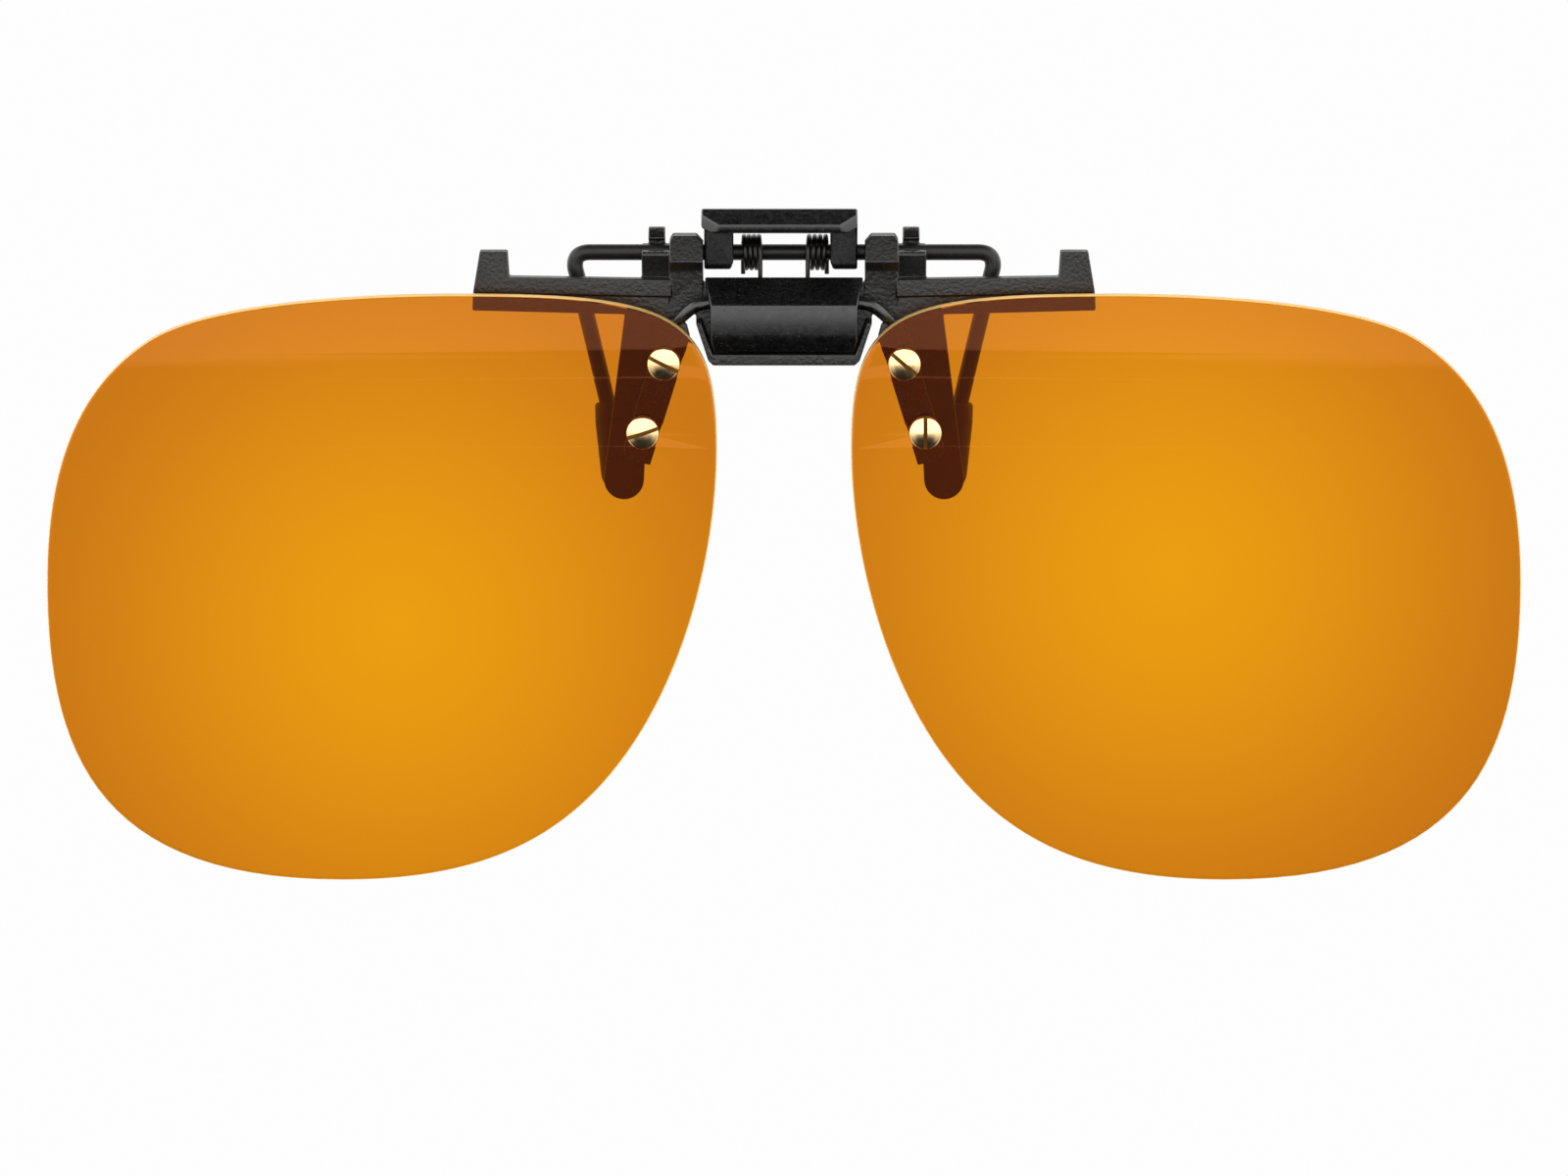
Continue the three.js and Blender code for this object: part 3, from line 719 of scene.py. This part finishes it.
# %% Bend the wire
SHAFT_Y, SHAFT_Z = 1.3, 7.0
WIRE_RADIUS = 0.75 * MM
SHAFT_MIDDLE = Vector((0.0, SHAFT_Y, SHAFT_Z))
SHAFT_END = Vector((18.0, SHAFT_Y, SHAFT_Z))
BEND = Vector((19.6, SHAFT_Y, SHAFT_Z))
LEG_TOP = Vector((19.4, SHAFT_Y, 5.5))
LEG_MIDDLE = Vector((18.4, 2.0, 1.4))
KNEE = Vector((16.5, 1.5, -6.8))
LEG_END = Vector((15.85, 1.45, -12.9))


def wire_stations():
    """The wire's points and handles, from the end of one leg to the other's."""
    third = 1 / 3
    half = [
        (SHAFT_END, SHAFT_END.lerp(SHAFT_MIDDLE, third), SHAFT_END.lerp(BEND, 2 * third)),
        (LEG_TOP, LEG_TOP.lerp(BEND, 2 * third), LEG_TOP.lerp(LEG_MIDDLE, 2 * third)),
        (KNEE, KNEE.lerp(LEG_MIDDLE, 2 * third), KNEE.lerp(LEG_END, third)),
        (LEG_END, LEG_END.lerp(KNEE, third), LEG_END),
    ]
    mirror = Vector((-1.0, 1.0, 1.0))
    left = [(at * mirror, after * mirror, before * mirror) for at, before, after in reversed(half)]
    return [[place * MM for place in station] for station in left + half]


wire_route = bpy.data.curves.new("wire_route", "CURVE")
wire_route.dimensions = "3D"
wire_route.resolution_u = 20
wire_route.bevel_depth = WIRE_RADIUS
wire_route.bevel_resolution = 6
wire_route.use_fill_caps = True
bezier_line(wire_route, wire_stations(), closed=False)
finish_piece(meshed(wire_route), "clamp_wire_round", [coated_wire],
             "clamp", ["clamp_wire"], weighted=False)

# %% [markdown]
# ## The torsion springs
#
# Two small springs are wound round the shaft, the left one closer. Each turn is
# worked out from an angle, with a straight leg at either end: one stands behind
# the hinge cover, the other pushes the thumb lever up. They twist when the lever
# is pressed, but here they ride on no body and stay as wound.

# %% Wind the springs
SPRING = {"radius": 1.5, "turns": 3.5, "inner": 2.2, "leg": 2.2, "wire": 0.21}
PITCH = {"left": 0.46, "right": 0.51}
STEPS_PER_TURN = 28


def wind_spring(side, pitch):
    """One torsion spring as a merged bmesh tube."""
    coil, leg = SPRING["radius"], SPRING["leg"]
    points = [Vector((SPRING["inner"], SHAFT_Y - coil, SHAFT_Z - leg))]
    for step in range(round(SPRING["turns"] * STEPS_PER_TURN) + 1):
        turned = step / STEPS_PER_TURN
        angle = 2 * math.pi * turned
        points.append(Vector((
            SPRING["inner"] + turned * pitch,
            SHAFT_Y - coil * math.cos(angle),
            SHAFT_Z + coil * math.sin(angle))))
    last = 2 * math.pi * SPRING["turns"]
    points.append(points[-1] + Vector((0.0, math.sin(last), math.cos(last))) * leg)
    curve = bpy.data.curves.new("spring_route", "CURVE")
    curve.dimensions = "3D"
    curve.bevel_depth = SPRING["wire"] * MM
    curve.bevel_resolution = 3
    curve.use_fill_caps = True
    line = curve.splines.new("POLY")
    line.points.add(len(points) - 1)
    for on_line, point in zip(line.points, points):
        on_line.co = (side * point.x * MM, point.y * MM, point.z * MM, 1.0)
    return meshed(curve)


for label, side in SIDES.items():
    node = f"torsion_spring_{label}"
    piece = finish_piece(wind_spring(side, PITCH[label]), f"{node}_coil", [blackened_steel],
                         None, [node], weighted=False)
    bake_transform(piece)

# %% [markdown]
# ## Round pieces from half a section
#
# Sleeves, screws and washers are round about an axis, as if turned on a lathe.
# So each is drawn as half of its section, which is spun once round and closed.

# %% Spin a section
def spin_profile(profile, steps=40):
    """Turns a section drawn in X and Z round the Z axis into a closed bmesh."""
    bm = bmesh.new()
    verts = [bm.verts.new((x, 0.0, z)) for x, z in profile]
    edges = [bm.edges.new(pair) for pair in zip(verts, verts[1:])]
    bmesh.ops.spin(
        bm, geom=verts + edges, cent=(0.0, 0.0, 0.0), axis=(0.0, 0.0, 1.0), dvec=(0.0, 0.0, 0.0),
        angle=2 * math.pi, steps=steps, use_merge=True, use_duplicate=False)
    bmesh.ops.remove_doubles(bm, verts=bm.verts, dist=SAME_POINT)
    bmesh.ops.recalc_face_normals(bm, faces=bm.faces)
    return bm


# %% [markdown]
# ## The sleeves on the wire's ends
#
# A soft barrel with a rounded nose is pushed over each leg. It is spun upright,
# then tilted to the leg's direction and moved to the leg's start.

# %% Spin the sleeves
SLEEVE_LENGTH = 8.2 * MM
SLEEVE_RADIUS = 1.3 * MM
SLEEVE_BORE = 0.78 * MM
SLEEVE_START = 0.2
NOSE_REACH = 1.15
NOSE_STEP = math.radians(10)
TAPER = 1.8 * MM
LIP = 0.15 * MM
BORE_FLARE = 0.1 * MM
NOSE_WALL = 1.6 * MM


def spin_sleeve(side):
    """One sleeve, its open mouth up the leg and its nose down."""
    nose = [(SLEEVE_RADIUS * math.sin(a),
             -(SLEEVE_LENGTH - SLEEVE_RADIUS * NOSE_REACH * (1 - math.cos(a))))
            for a in (step * NOSE_STEP for step in range(10))]
    mouth = [
        (SLEEVE_RADIUS, -TAPER), (SLEEVE_RADIUS - LIP, -LIP), (SLEEVE_RADIUS - 2 * LIP, 0.0),
        (SLEEVE_BORE + BORE_FLARE, 0.0), (SLEEVE_BORE, -LIP),
        (SLEEVE_BORE, NOSE_WALL - SLEEVE_LENGTH), (0.0, NOSE_WALL - SLEEVE_LENGTH),
    ]
    bm = spin_profile(nose + mouth)
    knee, end = (Vector((side * p.x, p.y, p.z)) * MM for p in (KNEE, LEG_END))
    down = (end - knee).normalized()
    turn = Vector((0.0, 0.0, -1.0)).rotation_difference(down).to_matrix().to_4x4()
    move = Matrix.Translation(knee + down * SLEEVE_START * MM) @ turn
    bmesh.ops.transform(bm, verts=bm.verts, matrix=move)
    return bm


for label, side in SIDES.items():
    finish_piece(spin_sleeve(side), f"grip_sleeve_{label}_soft", [soft_vinyl],
                 "clamp", [f"grip_sleeve_{label}"], weighted=False)

# %% [markdown]
# ## Screws
#
# A cheese-head screw is turned from bar: a slightly domed head with a rounded
# rim, and a shank. The slot is sawn with a boolean cut, because a saw
# does just that, and each screw stopped at its own angle.

# %% Turn the screws
SLOT_ANGLES = {
    ("left", "upper"): -26, ("left", "lower"): 18, ("right", "upper"): -40, ("right", "lower"): 90}
HEAD_RADIUS = 1.5 * MM
HEAD_HEIGHT = 0.9 * MM
HEAD_DOME = 0.28 * MM
HEAD_EDGE = 0.16 * MM
HEAD_UNDERCUT = 0.06 * MM
CROWN_STEPS = 6
EDGE_STEPS = 4
SHANK_RADIUS = 0.75 * MM
SHANK_CHAMFER = 0.1 * MM


def screw_section(length):
    """Half of a screw's section, from the middle of its crown to its tip."""
    crown = [((HEAD_RADIUS - HEAD_EDGE) * share, HEAD_HEIGHT - HEAD_DOME * share ** 2)
             for share in (step / CROWN_STEPS for step in range(CROWN_STEPS + 1))]
    rim_top = HEAD_HEIGHT - HEAD_DOME
    rim = [(HEAD_RADIUS - HEAD_EDGE * (1 - math.sin(a)), rim_top - HEAD_EDGE * (1 - math.cos(a)))
           for a in (math.pi / 2 * step / EDGE_STEPS for step in range(1, EDGE_STEPS + 1))]
    tip = HEAD_HEIGHT - length
    body = [
        (HEAD_RADIUS, HEAD_UNDERCUT), (HEAD_RADIUS - HEAD_UNDERCUT, 0.0), (SHANK_RADIUS, 0.0),
        (SHANK_RADIUS, tip + SHANK_CHAMFER), (SHANK_RADIUS - SHANK_CHAMFER, tip), (0.0, tip)]
    return crown + rim + body


# %% Saw the slots
SLOT_WIDTH = 0.36 * MM
SLOT_DEPTH = 0.55 * MM
SAW_LENGTH = 4 * MM
SLOT_FLOOR = 0.2 * MM
NEAR_HALF = 0.51
TURNED, SLOT_PAINTED_SHADE = 0, 1


def cut_away(bm, tool):
    """Cuts one bmesh with another by an exact boolean, and gives the result back."""
    holders = []
    for part in (bm, tool):
        mesh = bpy.data.meshes.new("cut_part")
        part.to_mesh(mesh)
        part.free()
        holder = bpy.data.objects.new("cut_part", mesh)
        bpy.context.scene.collection.objects.link(holder)
        holders.append(holder)
    cut = holders[0].modifiers.new("saw", "BOOLEAN")
    cut.operation = "DIFFERENCE"
    cut.solver = "EXACT"
    cut.object = holders[1]
    result = bmesh.new()
    result.from_object(holders[0], bpy.context.evaluated_depsgraph_get())
    for holder in holders:
        bpy.data.objects.remove(holder)
    return result


def saw_slot(bm, angle):
    """Saws a slot across a screw head, and gives the deep slot faces the painted-shade brass."""
    saw = bmesh.new()
    bmesh.ops.create_cube(saw, size=1.0)
    bmesh.ops.scale(saw, verts=saw.verts, vec=(SAW_LENGTH, SLOT_WIDTH, 2 * SLOT_DEPTH))
    bmesh.ops.translate(saw, verts=saw.verts, vec=(0.0, 0.0, HEAD_HEIGHT))
    bmesh.ops.rotate(saw, verts=saw.verts, cent=(0.0, 0.0, 0.0),
                     matrix=Matrix.Rotation(angle, 3, "Z"))
    bm = cut_away(bm, saw)
    across = Vector((-math.sin(angle), math.cos(angle), 0.0))
    for face in bm.faces:
        in_slot = all(abs(vert.co.dot(across)) < NEAR_HALF * SLOT_WIDTH for vert in face.verts)
        deep = face.calc_center_median().z > SLOT_FLOOR
        # Deep slot faces take the dark brass, which is painted shade.
        face.material_index = SLOT_PAINTED_SHADE if in_slot and deep else TURNED
    return bm


def turn_screw(label, row):
    """One slotted screw, its head to the front, in the place of its CAD node."""
    node = f"lens_screw_{label}_{row}"
    low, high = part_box(node)
    centre = middle_of(node)
    bm = spin_profile(screw_section(high.y - low.y), steps=56)
    bm = saw_slot(bm, math.radians(SLOT_ANGLES[label, row]))
    offsets = bm.loops.layers.uv.new("from_axis")
    for face in bm.faces:
        for loop in face.loops:
            loop[offsets].uv = (loop.vert.co.x / MM, loop.vert.co.y / MM)
    forwards = Matrix.Rotation(math.radians(90), 4, "X")
    move = Matrix.Translation((centre.x, low.y + HEAD_HEIGHT, centre.z)) @ forwards
    bmesh.ops.transform(bm, matrix=move, verts=bm.verts)
    return bm


# %% [markdown]
# ## Washers
#
# A thin washer lies between each strip and the lens, so that the screw does not
# press on the drilled resin. It is a flat ring with rounded edges, spun from
# the closed outline of its section.

# %% Press the washers
WASHER_HOLE = 1.0 * MM
WASHER_EDGE = 0.06 * MM


def press_washer(label, row):
    """One washer, in the place of its CAD node."""
    node = f"lens_washer_{label}_{row}"
    low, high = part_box(node)
    outer, hole, half, edge = (high.x - low.x) / 2, WASHER_HOLE, (high.y - low.y) / 2, WASHER_EDGE
    section = [
        (outer - edge, half), (outer, half - edge), (outer, edge - half), (outer - edge, -half),
        (hole + edge, -half), (hole, edge - half), (hole, half - edge), (hole + edge, half),
        (outer - edge, half)]
    bm = spin_profile(section, steps=48)
    stand = Matrix.Translation(middle_of(node)) @ Matrix.Rotation(math.radians(90), 4, "X")
    bmesh.ops.transform(bm, matrix=stand, verts=bm.verts)
    return bm


# %% Put the screws and washers in place
for label, row in SLOT_ANGLES:
    finish_piece(turn_screw(label, row), f"lens_screw_{label}_{row}_turned",
                 [turned_brass, slot_brass_painted_shade], "lens_carrier",
                 [f"lens_screw_{label}_{row}"], weighted=False)
    finish_piece(press_washer(label, row), f"lens_washer_{label}_{row}_ring", [natural_nylon],
                 "lens_carrier", [f"lens_washer_{label}_{row}"], weighted=False)

# %% [markdown]
# ## The frame's size
#
# The finished pieces have to stay inside the frame's box. The frame's box is
# printed in millimetres.

# %% The frame's box
print("frame box mm:", [[round(c / MM, 2) for c in corner] for corner in cad_box])
